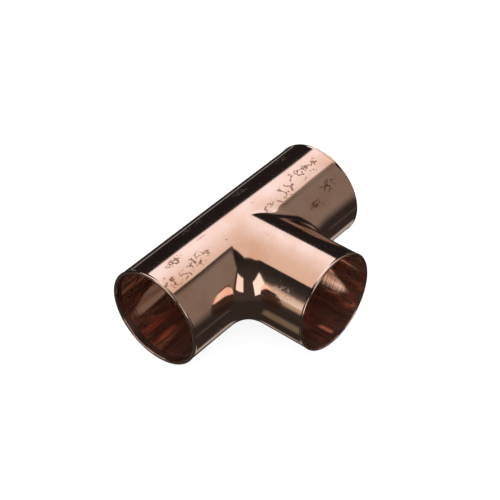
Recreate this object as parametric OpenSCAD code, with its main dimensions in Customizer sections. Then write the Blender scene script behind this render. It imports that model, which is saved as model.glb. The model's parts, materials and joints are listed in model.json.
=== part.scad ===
// Equal tee for 28 mm copper tube, with plain capillary sockets for soldering.
// The run lies along X, the branch points to -Y and +Z is up.
// The origin is under the middle of the tee, level with the lowest point of its mouths.

/* [Sockets] */
// Inside diameter of all three sockets, for tube of 28 mm outside diameter
socket_bore_d = 28.12; // [28.06:0.01:28.20]
// Depth from a mouth to the shoulder that the tube stops against
socket_depth = 18.4; // [17.0:0.1:19.5]
// Length of the bell that leads the tube in, inside each mouth
bell_length = 2.0; // [0.8:0.1:2.4]
// How far the bell opens the bore at the mouth, in radius
bell_rise = 0.2; // [0.1:0.05:0.25]

/* [Run] */
// Outside diameter of the run
run_outer_d = 30.4; // [30.0:0.05:31.0]
// Length from mouth to mouth along the run
run_length = 72.4; // [70:0.1:76]

/* [Branch] */
// Outside diameter of the branch, whose wall is drawn thinner than the run's
branch_outer_d = 29.8; // [29.5:0.05:30.2]
// Distance from the run's axis to the branch mouth
branch_reach = 34.9; // [34:0.1:37]

/* [Body] */
// Diameter of the waterway through the run, between the two shoulders
run_waterway_d = 26.9; // [26.4:0.1:27.4]
// Diameter of the waterway up the branch
branch_waterway_d = 26.6; // [26.0:0.1:26.8]
// Radius of the outside blend between run and branch
blend_r = 6.8; // [4.0:0.1:7.5]
// Extra radius of the inside blend, so that the wall keeps its thickness
blend_wall = 1.4; // [1.0:0.1:1.8]
// Straight tube left between the end of the blend and a socket
blend_margin = 2.9; // [0.4:0.1:3.2]

/* [Mouths] */
// How far each mouth turns out beyond the tube, in radius
lip_rise = 0.1; // [0.05:0.05:0.3]
// Length over which a mouth turns out
lip_length = 1.0; // [0.8:0.1:3.0]
// Rounding of the lip's outer edge
lip_round = 0.35; // [0.2:0.05:0.35]
// Rounding of the lip's inner edge
bell_round = 0.3; // [0.1:0.05:0.3]

/* [Smoothness] */
// Flat faces round half of the blend
blend_columns = 36; // [24:2:48]
// Flat faces across the blend, from run to branch
blend_rows = 7; // [4:1:10]

/* [Hidden] */
$fn = 96;
copper = [0.80, 0.52, 0.40];
socket_copper = [0.84, 0.57, 0.46];
run_r = run_outer_d / 2;
branch_r = branch_outer_d / 2;
bore_r = socket_bore_d / 2;
run_reach = run_length / 2;
run_stop = run_reach - socket_depth;
branch_stop = branch_reach - socket_depth;
// The body ends on straight tube, just past the blend
run_split = branch_r + blend_r + blend_margin;
branch_split = run_r + blend_r + blend_margin;
// The waterway's own blend ends inside the socket bores
waterway_margin = 0.3;
cut_past = 1;
// The mouths of the run are the widest and lowest rings
run_lip_r = run_r + lip_rise;
axis_y = (branch_reach - run_lip_r) / 2;
axis_z = run_lip_r;
flare_steps = 6;
round_steps = 5;

// A tee form: two tubes' outsides with a rolling-ball blend round the branch root.
// A ball of radius r touches the run of radius a and the branch of radius b,
// and angle t turns round the branch axis from the top.

function ball(t, a, b, r) =
    let (z = (b + r) * cos(t))
    [(b + r) * sin(t), -sqrt((a + r) * (a + r) - z * z), z];

function to_run(c, a, r) = -[0, c.y, c.z] / (a + r);

function to_branch(c, b, r) = -[c.x, 0, c.z] / (b + r);

// A point on the ball, f of the way round the great circle from run to branch
function blend_point(t, f, a, b, r) =
    let (c = ball(t, a, b, r))
    let (u = to_run(c, a, r))
    let (v = to_branch(c, b, r))
    let (turn = acos(u * v))
    c + r * (sin((1 - f) * turn) * u + sin(f * turn) * v) / sin(turn);

// The run's section: blend contacts down the front, then an arc up the back
function run_section(a, b, r) =
    let (n = blend_columns)
    let (front = [for (i = [0:n]) blend_point(180 * i / n, 0, a, b, r)])
    let (top = atan2(front[0].z, front[0].y))
    concat(
        [for (p = front) [p.y, p.z]],
        [for (i = [1:n - 1]) a * [cos(top * (2 * i / n - 1)), sin(top * (2 * i / n - 1))]]
    );

module tee_form(a, b, r, run_end, branch_end) {
    n = blend_columns;
    m = 2 * n;
    k = blend_rows;
    section = run_section(a, b, r);
    rings = [for (row = [0:k], col = [0:m - 1]) blend_point(180 * col / n, row / k, a, b, r)];
    branch_ring = [for (col = [0:m - 1]) [rings[k * m + col].x, -branch_end, rings[k * m + col].z]];
    right_ring = [for (s = section) [run_end, s.x, s.y]];
    left_ring = [for (s = section) [-run_end, s.x, s.y]];
    back_line = [for (i = [n + 1:m - 1]) [0, section[i].x, section[i].y]];
    points = concat(rings, branch_ring, right_ring, left_ring, back_line);
    right = (k + 2) * m;
    left = right + m;
    back = left + m - (n + 1);
    // The middle line of the back starts and ends on the blend's first ring
    middle = [for (i = [n:m]) i == n ? n : i == m ? 0 : back + i];
    run_front = [for (i = [0:n - 1]) [right + i, i, i + 1, right + i + 1]];
    run_front_left = [for (i = [0:n - 1]) [(m - i) % m, left + i, left + i + 1, m - i - 1]];
    run_back = [for (i = [n:m - 1]) [right + i, middle[i - n], middle[i - n + 1], right + (i + 1) % m]];
    run_back_left = [for (i = [n:m - 1]) [middle[i - n], left + i, left + (i + 1) % m, middle[i - n + 1]]];
    blend_near = [for (row = [0:k - 1], col = [0:m - 1])
        [row * m + col, (row + 1) * m + col, (row + 1) * m + (col + 1) % m]];
    blend_far = [for (row = [0:k - 1], col = [0:m - 1])
        [row * m + col, (row + 1) * m + (col + 1) % m, row * m + (col + 1) % m]];
    branch_wall = [for (col = [0:m - 1])
        [k * m + col, (k + 1) * m + col, (k + 1) * m + (col + 1) % m, k * m + (col + 1) % m]];
    caps = [
        [for (i = [0:m - 1]) right + i],
        [for (i = [0:m - 1]) left + m - 1 - i],
        [for (i = [0:m - 1]) (k + 1) * m + m - 1 - i]
    ];
    outward = concat(run_front, run_front_left, run_back, run_back_left, blend_near, blend_far,
        branch_wall, caps);
    polyhedron(points, [for (f = outward) [for (i = [len(f) - 1:-1:0]) f[i]]], convexity = 6);
}

// The half section of a socket's wall, as radius and distance from the tee's centre
function lip_flare(r, reach) =
    [for (i = [1:flare_steps])
        let (f = i / flare_steps)
        [r + lip_rise * (1 - cos(180 * f)) / 2, reach - lip_length + (lip_length - lip_round) * f]];

function corner(centre_r, centre_x, r, from, to) =
    [for (i = [0:round_steps])
        let (turn = from + (to - from) * i / round_steps)
        [centre_r + r * cos(turn), centre_x + r * sin(turn)]];

module socket_wall(outer_r, split, reach) {
    mouth_r = outer_r + lip_rise;
    bell_r = bore_r + bell_rise;
    rotate_extrude() polygon(concat(
        [[bore_r, split], [outer_r, split], [outer_r, reach - lip_length]],
        lip_flare(outer_r, reach),
        corner(mouth_r - lip_round, reach - lip_round, lip_round, 0, 90),
        corner(bell_r + bell_round, reach - bell_round, bell_round, 90, 180),
        [[bore_r, reach - bell_length]]
    ));
}

// Everything is drawn about the crossing of the two axes, then stood on z = 0
module place() {
    translate([0, axis_y, axis_z]) children();
}

module along_run(side) {
    rotate([0, side * 90, 0]) children();
}

module along_branch() {
    rotate([90, 0, 0]) children();
}

module bore_cut(stop, split) {
    translate([0, 0, stop]) cylinder(h = split - stop + cut_past, r = bore_r);
}

// Formed middle of the fitting, where run and branch meet, with the three tube stops
module tee_body() {
    color(copper) place() difference() {
        tee_form(run_r, branch_r, blend_r, run_split, branch_split);
        tee_form(run_waterway_d / 2, branch_waterway_d / 2, blend_r + blend_wall,
            branch_waterway_d / 2 + blend_r + blend_wall + waterway_margin,
            run_waterway_d / 2 + blend_r + blend_wall + waterway_margin);
        along_run(-1) bore_cut(run_stop, run_split);
        along_run(1) bore_cut(run_stop, run_split);
        along_branch() bore_cut(branch_stop, branch_split);
    }
}

module run_socket_left() {
    color(socket_copper) place() along_run(-1) socket_wall(run_r, run_split, run_reach);
}

module run_socket_right() {
    color(socket_copper) place() along_run(1) socket_wall(run_r, run_split, run_reach);
}

module branch_socket() {
    color(socket_copper) place() along_branch() socket_wall(branch_r, branch_split, branch_reach);
}

tee_body();
run_socket_left();
run_socket_right();
branch_socket();
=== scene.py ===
import json
import math

import bpy
from mathutils import Matrix, Vector


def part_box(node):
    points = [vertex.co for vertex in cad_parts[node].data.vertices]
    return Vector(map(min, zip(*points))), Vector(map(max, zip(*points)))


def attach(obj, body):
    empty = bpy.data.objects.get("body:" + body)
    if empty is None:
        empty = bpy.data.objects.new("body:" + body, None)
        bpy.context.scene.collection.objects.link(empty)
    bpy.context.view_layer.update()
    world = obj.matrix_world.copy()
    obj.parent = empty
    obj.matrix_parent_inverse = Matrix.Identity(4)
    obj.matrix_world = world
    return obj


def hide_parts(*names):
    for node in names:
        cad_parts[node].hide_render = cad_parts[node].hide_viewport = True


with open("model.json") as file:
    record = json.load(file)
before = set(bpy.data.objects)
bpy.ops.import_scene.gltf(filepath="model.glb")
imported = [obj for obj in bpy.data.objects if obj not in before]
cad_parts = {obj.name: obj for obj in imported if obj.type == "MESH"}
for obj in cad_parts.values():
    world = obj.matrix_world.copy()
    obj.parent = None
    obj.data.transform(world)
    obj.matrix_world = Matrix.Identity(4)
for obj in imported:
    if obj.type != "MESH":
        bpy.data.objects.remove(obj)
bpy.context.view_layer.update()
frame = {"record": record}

# ---- Tee body ----
# The middle of the fitting, pressed from one piece of copper tube: the run, the root of the branch
# that is pushed out of its side, and the tube stops inside. Its outside is polished, and its inside
# keeps the duller, redder skin that forming and washing leave.

millimetre = 0.001
body_low, body_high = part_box("tee_body")
run_end_low, run_end_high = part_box("run_socket_left")
branch_end_low, branch_end_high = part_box("branch_socket")
mounts = {mount["name"]: mount for mount in frame["record"]["mounts"]}
centre = Vector((0, (run_end_low.y + run_end_high.y) / 2, (run_end_low.z + run_end_high.z) / 2))
bore_radius = mounts["run_socket_left"]["dims"]["r_mm"] * millimetre
run_radius = (body_high.z - body_low.z) / 2
run_lip_radius = (run_end_high.z - run_end_low.z) / 2
lip_rise = run_lip_radius - run_radius
branch_radius = (branch_end_high.x - branch_end_low.x) / 2 - lip_rise
run_split = body_high.x
branch_split = centre.y - body_low.y
run_stop = mounts["run_socket_right"]["pos_m"][0]
branch_stop = centre.y - mounts["branch_socket"]["pos_m"][1]
eased_root_radius = 9.5 * millimetre
waterway_run_radius = 13.45 * millimetre
waterway_branch_radius = 13.3 * millimetre
waterway_root_radius = 8.2 * millimetre
waterway_margin = 0.3 * millimetre
# Closer than this, two points of a mesh are one
join_distance = 1e-6


def leave_all():
    """Nothing stays selected, so that an operator acts on the new piece alone."""
    bpy.ops.object.select_all(action="DESELECT")


def root_point(turn, across, run, branch, root, eased):
    """A point on the rounded root, where a ball of radius root rolls round between run and branch."""
    out, height = (branch + root) * math.sin(turn), (branch + root) * math.cos(turn)
    ball = Vector((out, -math.sqrt((run + root) ** 2 - height ** 2), height))
    to_run = -Vector((0, ball.y, ball.z)) / (run + root)
    to_branch = -Vector((ball.x, 0, ball.z)) / (branch + root)
    if not eased:
        return ball + root * to_run.slerp(to_branch, across)
    # Eased out at both ends, as drawn metal is: flat there, and tightest in the middle
    foot, head = ball + root * to_run, ball + root * to_branch
    corner = ball + (to_run + to_branch) * root / (1 + to_run.dot(to_branch))
    early, late = 0.45, 0.7
    pins = [foot, foot.lerp(corner, early), foot.lerp(corner, late),
            head.lerp(corner, late), head.lerp(corner, early), head]
    last = len(pins) - 1
    place = Vector()
    for step, pin in enumerate(pins):
        place += math.comb(last, step) * across ** step * (1 - across) ** (last - step) * pin
    return place


def tee_form(name, run, branch, root, eased, run_end, branch_end, columns, row_counts):
    """Half of the tee as two bent grids, front and back, then mirrored, closed and turned outwards."""
    run_rows, root_rows, branch_rows = row_counts
    rows = sum(row_counts)
    leave_all()
    bpy.ops.mesh.primitive_grid_add(x_subdivisions=columns, y_subdivisions=rows, size=1)
    front = bpy.context.object
    for vertex in front.data.vertices:
        turn = math.pi * (vertex.co.x + 0.5)
        row = (vertex.co.y + 0.5) * rows
        if row <= run_rows:
            place = root_point(turn, 0, run, branch, root, eased)
            place.x = run_end + (place.x - run_end) * row / run_rows
        elif row <= run_rows + root_rows:
            place = root_point(turn, (row - run_rows) / root_rows, run, branch, root, eased)
        else:
            place = root_point(turn, 1, run, branch, root, eased)
            along = (row - run_rows - root_rows) / branch_rows
            place.y = place.y + (-branch_end - place.y) * along
        vertex.co = place + centre
    crown = root_point(0, 0, run, branch, root, eased)
    crown_turn = math.atan2(crown.z, crown.y)
    bpy.ops.mesh.primitive_grid_add(x_subdivisions=columns, y_subdivisions=run_rows, size=1)
    back = bpy.context.object
    for vertex in back.data.vertices:
        turn = crown_turn * -2 * vertex.co.x
        along = vertex.co.y + 0.5
        vertex.co = centre + Vector((run_end * (1 - along), run * math.cos(turn), run * math.sin(turn)))
    front.select_set(True)
    bpy.ops.object.join()
    form = bpy.context.object
    form.name = form.data.name = name
    mirror = form.modifiers.new("other half", "MIRROR")
    mirror.use_axis = (True, False, False)
    mirror.merge_threshold = join_distance
    bpy.ops.object.modifier_apply(modifier=mirror.name)
    bpy.ops.object.mode_set(mode="EDIT")
    bpy.ops.mesh.select_all(action="SELECT")
    bpy.ops.mesh.remove_doubles(threshold=join_distance)
    bpy.ops.mesh.fill_holes(sides=0)
    bpy.ops.mesh.select_all(action="SELECT")
    bpy.ops.mesh.normals_make_consistent(inside=False)
    bpy.ops.object.mode_set(mode="OBJECT")
    bpy.ops.object.transform_apply(location=True, rotation=True, scale=True)
    return form


def use_up(piece, tool, operation):
    """Applies a Boolean and takes the tool away."""
    boolean = piece.modifiers.new(operation, "BOOLEAN")
    boolean.operation = operation
    boolean.solver = "EXACT"
    boolean.material_mode = "TRANSFER"
    boolean.object = tool
    leave_all()
    bpy.context.view_layer.objects.active = piece
    piece.select_set(True)
    bpy.ops.object.modifier_apply(modifier=boolean.name)
    bpy.data.objects.remove(tool)


class Wire:
    """One socket of a material. Sums and products of wires in Python become its Math nodes."""

    def __init__(self, socket):
        self.socket = socket

    def node(self, kind, settings, inputs, output=0):
        """Adds any node: its settings first, then the values or wires of its sockets."""
        tree = self.socket.id_data
        new = tree.nodes.new(kind)
        for name, value in settings.items():
            setattr(new, name, value)
        for name, value in inputs.items():
            if isinstance(value, Wire):
                tree.links.new(value.socket, new.inputs[name])
            else:
                new.inputs[name].default_value = value
        return Wire(new.outputs[output])

    def math(self, operation, first, second=0.0):
        return self.node("ShaderNodeMath", {"operation": operation}, {0: first, 1: second})

    def __add__(self, other):
        return self.math("ADD", self, other)

    def __radd__(self, other):
        return self.math("ADD", other, self)

    def __sub__(self, other):
        return self.math("SUBTRACT", self, other)

    def __rsub__(self, other):
        return self.math("SUBTRACT", other, self)

    def __mul__(self, other):
        return self.math("MULTIPLY", self, other)

    def __rmul__(self, other):
        return self.math("MULTIPLY", other, self)

    def __pow__(self, other):
        return self.math("POWER", self, other)

    def size(self):
        return self.math("ABSOLUTE", self)

    def noise(self, size, detail=3.0, rough=0.5, stretch=(1, 1, 1)):
        """Noise with blotches of about this size in metres, drawn out along an axis by stretch."""
        place = self.node("ShaderNodeMapping", {}, {"Vector": self, "Scale": [1 / s for s in stretch]})
        return self.node("ShaderNodeTexNoise", {}, {
            "Vector": place, "Scale": 1 / size, "Detail": detail, "Roughness": rough})

    def along(self, axis):
        return self.node("ShaderNodeSeparateXYZ", {}, {"Vector": self}, "XYZ".index(axis))

    def between(self, low, high):
        """0 below low, 1 above high, and a smooth step between them."""
        return self.node("ShaderNodeMapRange", {"interpolation_type": "SMOOTHSTEP"}, {
            "Value": self, "From Min": low, "From Max": high})

    def patch(self, place, half, roll=0.0, edge=0.5, ragged=0.0):
        """1 in a soft-edged patch about a place in millimetres from the crossing, and 0 elsewhere."""
        local = self.node("ShaderNodeMapping", {"vector_type": "TEXTURE"}, {
            "Vector": self, "Location": centre + Vector(place) * millimetre,
            "Rotation": (0, 0, math.radians(roll)), "Scale": Vector(half) * millimetre})
        far = local.node("ShaderNodeVectorMath", {"operation": "LENGTH"}, {0: local}, "Value")
        return 1 - (far + ragged).between(edge, 1.0)

    def mix(self, first, second):
        """A colour between two colours, by this wire."""
        return self.node("ShaderNodeMix", {"data_type": "RGBA"}, {0: self, 6: first, 7: second}, 2)

    def bump(self):
        """The surface's direction where this wire is its height in millimetres."""
        return self.node("ShaderNodeBump", {}, {"Height": self, "Distance": millimetre, "Strength": 1.0})


def new_material(name, coordinates):
    """A material, its shader's sockets, and the coordinates that its patterns follow."""
    material = bpy.data.materials.new(name)
    material.use_nodes = True
    shader = material.node_tree.nodes["Principled BSDF"]
    place = Wire(shader.outputs[0]).node("ShaderNodeTexCoord", {}, {}, coordinates)
    return material, shader.inputs, place


def feed(socket, wire):
    """Joins a wire to a socket of the shader."""
    wire.socket.id_data.links.new(wire.socket, socket)


# Dried marks that handling has left on the run: place and half size in millimetres, then roll
dried_marks = [
    ((-21.5, -4.4, 14.5), (4.6, 2.4, 2.6), 0), ((-27.3, -0.8, 15.2), (3.6, 1.6, 1.8), 0),
    ((-28.0, -5.2, 14.3), (3.6, 1.7, 2.0), 0), ((-32.6, -5.0, 14.4), (4.0, 2.0, 2.3), -20),
    ((27.6, -3.7, 14.7), (5.6, 2.6, 3.0), 10), ((14.4, -4.7, 14.5), (6.2, 2.6, 2.8), 12),
    ((21.6, -2.2, 15.0), (4.2, 1.6, 1.8), 0), ((28.6, -9.9, 11.6), (4.2, 2.4, 3.2), 0),
    ((7.6, -5.9, 14.0), (3.2, 1.8, 2.0), 0), ((23.0, -11.6, 9.8), (4.6, 1.6, 2.6), 0)]
# Where it has been scuffed by its neighbours in the box, given the same way
scuffs = [
    ((27.0, 6.0, 14.0), (5.0, 2.2, 2.6), 0), ((8.0, 5.6, 14.1), (6.0, 2.0, 2.4), 0),
    ((-13.0, 6.2, 13.9), (7.0, 1.8, 2.2), 0), ((-24.0, -14.9, -2.5), (7.0, 2.0, 3.6), 0),
    ((-13.0, -27.0, 7.6), (2.6, 5.0, 3.4), 0), ((9.5, -24.0, 11.6), (2.4, 6.0, 2.6), 0)]
# Short straight scratches filled with tarnish, given the same way
dark_scratches = [
    ((-15.3, 0.2, 15.2), (3.1, 0.14, 0.9), 0), ((21.0, -11.1, 10.4), (2.9, 0.13, 0.30), 2),
    ((5.2, -1.1, 15.2), (0.9, 0.14, 0.5), -25), ((-10.8, -5.1, 14.3), (0.3, 0.3, 0.4), 0),
    ((16.0, -6.4, 13.7), (1.4, 0.16, 0.4), -35), ((4.0, -28.0, 14.3), (0.35, 0.3, 0.4), 0)]


def polished_copper():
    """Bright copper with a faint cloud of age, dried marks, freckles, scuffs and scratches."""
    material, shader, place = new_material("polished copper", "Object")
    shader["Metallic"].default_value = 1
    cloud = place.noise(9 * millimetre)
    grain = place.noise(0.6 * millimetre, 4.0, 0.6)
    clean = (0.96, 0.68, 0.56, 1)
    aged = (0.90, 0.58, 0.44, 1)
    tarnish = (0.30, 0.13, 0.08, 1)
    freckle = (0.72, 0.36, 0.22, 1)
    outline = (place.noise(3.4 * millimetre, 4.0, 0.66) - 0.5).size()
    ragged = 1.6 * place.noise(2.2 * millimetre, 2.0) - 0.8
    marked = sum(place.patch(*mark, 0.6, ragged) for mark in dried_marks)
    gaps = place.noise(1.6 * millimetre, 1.0).between(0.36, 0.42)
    dried = marked * (1 - outline.between(0.022, 0.050)) * gaps
    fleck = place.noise(0.4 * millimetre, 3.0, 0.6).between(0.66, 0.74)
    hairline = 1 - (place.noise(2.2 * millimetre, 3.0, 0.6) - 0.5).size().between(0.006, 0.024)
    dulled = 0.22 * fleck + 0.3 * hairline * sum(place.patch(*scuff, 0.4, ragged) for scuff in scuffs)
    scratched = sum(place.patch(*scratch, 0.3) for scratch in dark_scratches)
    stain = dried.math("MINIMUM", 0.9 * dried + 0.9 * scratched, 0.9)
    speckle = place.noise(0.8 * millimetre, 5.0, 0.7).between(0.54, 0.68)
    freckled = speckle * (0.2 + 0.8 * place.patch((1.0, -12.5, 12.5), (13, 9, 9), 0, 0.2))
    colour = cloud.between(0.42, 0.75).mix(clean, aged)
    colour = (0.55 * freckled).mix(colour, freckle)
    feed(shader["Base Color"], stain.mix(colour, tarnish))
    feed(shader["Roughness"], 0.05 + 0.03 * cloud + 0.03 * grain + 0.25 * stain + dulled)
    sway = place.noise(14 * millimetre, 1.0)
    height = 0.02 * sway + 0.0008 * grain - 0.004 * stain
    feed(shader["Normal"], height.bump())
    return material


def formed_copper(name, axis):
    """The inside of a tube along that axis: streaks along it from drawing, fine rings from sizing."""
    material, shader, place = new_material(name, "Object")
    shader["Metallic"].default_value = 0.94
    stretch = [14 if axis == letter else 1 for letter in "XYZ"]
    streak = place.noise(1.6 * millimetre, 4.0, 0.6, stretch)
    along = place.along(axis)
    ring = along.node("ShaderNodeTexNoise", {"noise_dimensions": "1D"}, {
        "W": along, "Scale": 1 / (0.55 * millimetre), "Detail": 2.0})
    clean = (0.76, 0.45, 0.34, 1)
    dull = (0.44, 0.21, 0.14, 1)
    feed(shader["Base Color"], streak.between(0.38, 0.68).mix(clean, dull))
    feed(shader["Roughness"], 0.05 + 0.08 * streak)
    height = 0.010 * ring + 0.003 * streak
    feed(shader["Normal"], height.bump())
    return material


def copper_with_painted_shade():
    """The rims of the mouths, and the bands inside the run's two: rougher copper whose darker colour is
    painted shade.
    """
    material, shader, place = new_material("copper with painted shade", "Object")
    shader["Metallic"].default_value = 1
    shade_blotch = place.noise(2.5 * millimetre, 3.0)
    # Both tones are painted shade, darker than the polished copper; the noise mixes them at random
    bright = (0.56, 0.43, 0.39, 1)
    darker_painted_shade = (0.47, 0.35, 0.32, 1)
    feed(shader["Base Color"], shade_blotch.between(0.35, 0.65).mix(bright, darker_painted_shade))
    feed(shader["Roughness"], 0.26 + 0.10 * shade_blotch)
    return material


outside = polished_copper()
# Copper for the rims and the run's bells, whose darker colour is painted shade
painted_shade_copper = copper_with_painted_shade()
run_inside = formed_copper("formed copper of the run", "X")
branch_inside = formed_copper("formed copper of the branch", "Y")

body = tee_form("tee_body_shell", run_radius, branch_radius, eased_root_radius, True,
                run_split, branch_split, columns=120, row_counts=(12, 24, 10))
body.data.materials.append(outside)
waterway = tee_form("waterway", waterway_run_radius, waterway_branch_radius,
                    waterway_root_radius, False,
                    waterway_branch_radius + waterway_root_radius + waterway_margin,
                    waterway_run_radius + waterway_root_radius + waterway_margin,
                    columns=60, row_counts=(6, 12, 5))
waterway.data.materials.append(run_inside)
bores = [((1, 0, 0), run_stop, run_split, run_inside),
         ((-1, 0, 0), run_stop, run_split, run_inside),
         ((0, -1, 0), branch_stop, branch_split, branch_inside)]
for direction, stop, split, finish in bores:
    out = Vector(direction)
    depth = split - stop + millimetre
    leave_all()
    bpy.ops.mesh.primitive_cylinder_add(
        vertices=192, radius=bore_radius, depth=depth, location=centre + out * (stop + depth / 2),
        rotation=out.to_track_quat("Z", "Y").to_euler())
    bore = bpy.context.object
    bore.data.materials.append(finish)
    use_up(waterway, bore, "UNION")
use_up(body, waterway, "DIFFERENCE")
bpy.ops.object.shade_smooth_by_angle(angle=math.radians(30))
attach(body, "root")
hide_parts("tee_body")

# ---- Sockets ----
# Each end of the tee, sized on a mandrel to take the tube, with a short bell and a turned-out lip.
# They are the same copper as the body and run into it without a seam; their rims, and the bells of the
# run's two, are darker by painted shade.

lip_length = 1.0 * millimetre
lip_round = 0.35 * millimetre
bell_length = 2.0 * millimetre
bell_rise = 0.2 * millimetre
bell_round = 0.3 * millimetre


def arc(radius_at, along_at, radius, start, end, steps):
    """Points round a corner of the wall's outline, as radius and distance along the tube."""
    turns = [math.radians(start + (end - start) * step / steps) for step in range(steps + 1)]
    return [(radius_at + radius * math.cos(turn), along_at + radius * math.sin(turn)) for turn in turns]


def tube_socket(name, node, direction, outer, split, reach, finish, bell_material):
    """Draws the wall's outline point by point, then spins it round the tube's axis."""
    flare = []
    flare_steps = 12
    for step in range(1, flare_steps + 1):
        part = step / flare_steps
        rise = lip_rise * (1 - math.cos(math.pi * part)) / 2
        flare.append((outer + rise, reach - lip_length + (lip_length - lip_round) * part))
    lip = outer + lip_rise
    bell = bore_radius + bell_rise
    outline = [(bore_radius, split), (outer, split), (outer, reach - lip_length)] + flare
    outline += arc(lip - lip_round, reach - lip_round, lip_round, 0, 90, 8)[1:]
    outline += arc(bell + bell_round, reach - bell_round, bell_round, 90, 180, 6)
    outline.append((bore_radius, reach - bell_length))
    outline.append(outline[0])
    out = Vector(direction)
    up = Vector((0, 0, 1))
    points = [centre + out * along + up * radius for radius, along in outline]
    leave_all()
    bpy.ops.mesh.primitive_plane_add(size=millimetre, location=points[0])
    piece = bpy.context.object
    piece.name = piece.data.name = name
    bpy.ops.object.mode_set(mode="EDIT")
    bpy.ops.mesh.merge(type="CENTER")
    for here, there in zip(points, points[1:]):
        bpy.ops.mesh.extrude_region_move(TRANSFORM_OT_translate={"value": there - here})
    bpy.ops.mesh.select_all(action="SELECT")
    bpy.ops.mesh.spin(steps=240, angle=2 * math.pi, center=centre, axis=out)
    bpy.ops.mesh.select_all(action="SELECT")
    bpy.ops.mesh.remove_doubles(threshold=join_distance)
    bpy.ops.mesh.normals_make_consistent(inside=False)
    bpy.ops.object.mode_set(mode="OBJECT")
    bpy.ops.object.transform_apply(location=True, rotation=True, scale=True)
    piece.data.materials.append(outside)
    piece.data.materials.append(finish)
    piece.data.materials.append(bell_material)
    piece.data.materials.append(painted_shade_copper)
    # Slot 3, on the rims, and slot 2 in the run's bells, hold copper whose darker colour is painted
    # shade
    for face in piece.data.polygons:
        along = (face.center - centre).dot(out)
        arm = face.center - centre - out * along
        faces_inwards = face.normal.dot(arm) < 0
        faces_out_of_mouth = face.normal.dot(out) > 0.98
        if faces_inwards and along < reach - bell_round:
            face.material_index = 1 if along < reach - bell_length else 2
        elif faces_out_of_mouth:
            face.material_index = 3
    bpy.ops.object.shade_smooth_by_angle(angle=math.radians(5))
    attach(piece, "root")
    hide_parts(node)


run_reach = -run_end_low.x
branch_reach = centre.y - branch_end_low.y
# The run's bells take the copper with painted shade; the branch's bell keeps its inside copper
tube_socket("run_socket_left_wall", "run_socket_left", (-1, 0, 0), run_radius, run_split, run_reach,
            run_inside, painted_shade_copper)
tube_socket("run_socket_right_wall", "run_socket_right", (1, 0, 0), run_radius, run_split, run_reach,
            run_inside, painted_shade_copper)
tube_socket("branch_socket_wall", "branch_socket", (0, -1, 0), branch_radius, branch_split,
            branch_reach, branch_inside, branch_inside)

# ---- Stage ----
# A pale table under the fitting in a dim room, with a big soft box hung overhead and behind, two
# small soft boxes at the sides and a few cards. The floor is lit by the white surroundings, and only
# the metal mirrors the room.


def toward(azimuth, elevation, distance=1.0):
    """A point that far from the tee: azimuth 0 is out of the branch, 90 is along +X."""
    turn, rise = math.radians(azimuth), math.radians(elevation)
    flat = Vector((math.sin(turn), -math.cos(turn), 0)) * math.cos(rise)
    return centre + distance * (flat + Vector((0, 0, math.sin(rise))))


def mirrored_only(thing):
    """Seen in the metal, and by nothing else."""
    thing.visible_camera = False
    thing.visible_diffuse = False
    thing.visible_shadow = False


def glowing(name, colour, strength, coordinates):
    """A material that reflects nothing and glows evenly."""
    material, shader, place = new_material(name, coordinates)
    shader["Base Color"].default_value = (0, 0, 0, 1)
    shader["Specular IOR Level"].default_value = 0
    shader["Emission Color"].default_value = (*colour, 1)
    shader["Emission Strength"].default_value = strength
    return material, shader, place


def card(name, azimuths, elevations, distance, brightness, colour=(1, 1, 1), soft=0.1, soft_foot=None):
    """A curved glowing card that fills those angles round the tee and fades out at its edges."""
    leave_all()
    bpy.ops.mesh.primitive_grid_add(x_subdivisions=24, y_subdivisions=24, size=1, calc_uvs=True)
    made = bpy.context.object
    made.name = name
    for vertex in made.data.vertices:
        across, up = vertex.co.x + 0.5, vertex.co.y + 0.5
        azimuth = azimuths[0] + (azimuths[1] - azimuths[0]) * across
        elevation = elevations[0] + (elevations[1] - elevations[0]) * up
        vertex.co = toward(azimuth, elevation, distance)
    glow, shader, place = glowing(name, colour, brightness, "UV")
    sideways, upwards = place.along("X"), place.along("Y")
    inner = sideways.between(0, soft) * (1 - sideways.between(1 - soft, 1))
    inner = inner * upwards.between(0, soft_foot or soft) * (1 - upwards.between(1 - soft, 1))
    feed(shader["Alpha"], inner)
    made.data.materials.append(glow)
    mirrored_only(made)


leave_all()
bpy.ops.mesh.primitive_plane_add(size=6)
floor = bpy.context.object
floor.name = "floor"
floor_paint = bpy.data.materials.new("pale table")
floor_paint.use_nodes = True
floor_shader = floor_paint.node_tree.nodes["Principled BSDF"].inputs
floor_shader["Base Color"].default_value = (0.3, 0.3, 0.3, 1)
floor_shader["Emission Color"].default_value = (1, 1, 1, 1)
floor_shader["Emission Strength"].default_value = 0.88
floor_shader["Roughness"].default_value = 0.9
floor_shader["Specular IOR Level"].default_value = 0.1
floor.data.materials.append(floor_paint)
floor.visible_glossy = False

# The overhead soft box is level, square to the camera's view, and brightest towards its back edge
overhead_height = 0.6
overhead_back = 1.54 * overhead_height
overhead_front = -0.21 * overhead_height
overhead_right = 0.72 * overhead_height
overhead_left = -1.1 * overhead_height
leave_all()
bpy.ops.mesh.primitive_plane_add(size=1)
overhead = bpy.context.object
overhead.name = "overhead soft box"
away_azimuth = 132
away = toward(away_azimuth, 0) - centre
aside = toward(away_azimuth - 90, 0) - centre
overhead_middle = centre + Vector((0, 0, overhead_height))
overhead_middle += away * (overhead_back + overhead_front) / 2
overhead_middle += aside * (overhead_left + overhead_right) / 2
overhead_turn = Matrix((aside, away, Vector((0, 0, 1)))).transposed().to_4x4()
overhead_size = Matrix.Diagonal((overhead_right - overhead_left, overhead_back - overhead_front, 1, 1))
overhead.matrix_world = Matrix.Translation(overhead_middle) @ overhead_turn @ overhead_size
overhead_glow, overhead_shader, overhead_place = glowing("overhead diffuser", (1, 1, 1), 1.0, "Object")
overhead_across, overhead_along = overhead_place.along("X"), overhead_place.along("Y")
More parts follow.
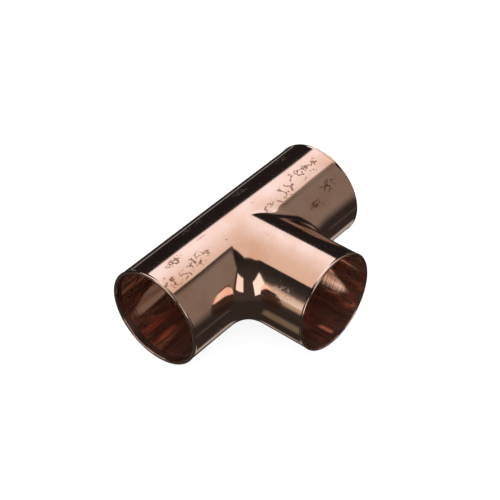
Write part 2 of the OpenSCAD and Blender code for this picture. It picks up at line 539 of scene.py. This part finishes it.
front_glow = (0.75, 0.63, 0.54, 1)
back_glow = (1.04, 1.08, 1.18, 1)
diffuser = overhead_along.between(-0.35, 0.2).mix(front_glow, back_glow)
# Its corners are round, its back edge fades out, and its front edge is cut on a slant to the right
# of the camera's line of sight
squareness = 7
round_corner = (2 * overhead_across.size()) ** squareness + (2 * overhead_along.size()) ** squareness
right_of_sight = 1.82 * overhead_across - 0.19
slant = 0.50 * right_of_sight.math("MAXIMUM", right_of_sight, 0)
past_front = 1.75 * overhead_along + 0.875 - slant
lit = (1 - round_corner.between(0.85, 1.0)) * past_front.between(0.0, 0.05)
lit = lit * (1 - overhead_along.between(0.40, 0.50))
feed(overhead_shader["Emission Color"], diffuser)
feed(overhead_shader["Alpha"], lit)
overhead.data.materials.append(overhead_glow)
mirrored_only(overhead)

card("left soft box", (-117, -80), (-2, 33), 0.7, 1.2, soft=0.07)
card("right soft box", (-31, 6), (12, 47), 0.7, 1.1, soft=0.07)
card("right wall", (10, 86), (-22, 54), 1.2, 0.22, (1.0, 0.87, 0.76), soft=0.12, soft_foot=0.28)
card("right wall's far end", (62, 119), (20, 62), 1.2, 0.24, (1.0, 0.87, 0.76), soft=0.2)
card("left wall", (-142, -108), (-13, 18), 1.2, 0.45, (1.0, 0.84, 0.64), soft=0.25)
card("low left card", (-150, -110), (-58, -34), 1.2, 0.16, (1.0, 0.88, 0.66), soft=0.35)
card("low right card", (74, 112), (-68, -42), 0.9, 0.42, (1.0, 0.94, 0.88), soft=0.3)
card("low back card", (148, 176), (-68, -42), 0.9, 0.45, (1.0, 0.94, 0.88), soft=0.3)
card("thin back strip", (120, 170), (-14, -8), 1.2, 0.28, soft=0.25)
card("thin front strip", (25, 58), (-38, -32), 1.2, 0.07, soft=0.4)

leave_all()
bpy.ops.mesh.primitive_uv_sphere_add(segments=48, ring_count=24, radius=2.5)
room = bpy.context.object
room.name = "dim room"
room_glow, room_shader, room_place = glowing("dim room", (1, 1, 1), 1.0, "Object")
far_side = room_place.node("ShaderNodeVectorMath", {"operation": "DOT_PRODUCT"}, {
    0: room_place, 1: toward(away_azimuth, 20) - centre}, "Value").between(-1.5, 1.0)
near_wall = (0.050, 0.046, 0.042, 1)
far_wall = (0.014, 0.013, 0.014, 1)
ground = (0.030, 0.026, 0.024, 1)
walls = far_side.mix(near_wall, far_wall)
above_ground = room_place.along("Z").between(-1.0, -0.3)
feed(room_shader["Emission Color"], above_ground.mix(ground, walls))
room.data.materials.append(room_glow)
mirrored_only(room)

leave_all()
world = bpy.data.worlds.new("white surroundings")
bpy.context.scene.world = world
world.use_nodes = True
world.node_tree.nodes["Background"].inputs["Color"].default_value = (1, 1, 1, 1)
world.node_tree.nodes["Background"].inputs["Strength"].default_value = 1.18
world.cycles_visibility.glossy = False
bpy.context.scene.view_settings.view_transform = "Standard"

# ---- Camera ----
# Above the near end of the run, looking down at the branch side with a long lens.

camera_azimuth = -48.46
camera_elevation = 41.35
camera_roll = -1.96
camera_distance = 0.4271
camera_lens = 106.8
aim_right = 3.08 * millimetre
aim_up = 0.15 * millimetre
back = toward(camera_azimuth, camera_elevation) - centre
level = toward(camera_azimuth + 90, 0) - centre
upright = back.cross(level)
roll = math.radians(camera_roll)
right = math.cos(roll) * level + math.sin(roll) * upright
up = math.cos(roll) * upright - math.sin(roll) * level
bpy.ops.object.camera_add(location=centre + back * camera_distance + right * aim_right + up * aim_up)
camera = bpy.context.object
camera.rotation_euler = Matrix((right, up, back)).transposed().to_euler()
camera.data.sensor_width = 36
camera.data.lens = camera_lens
camera.data.clip_start = 0.01
bpy.context.scene.camera = camera
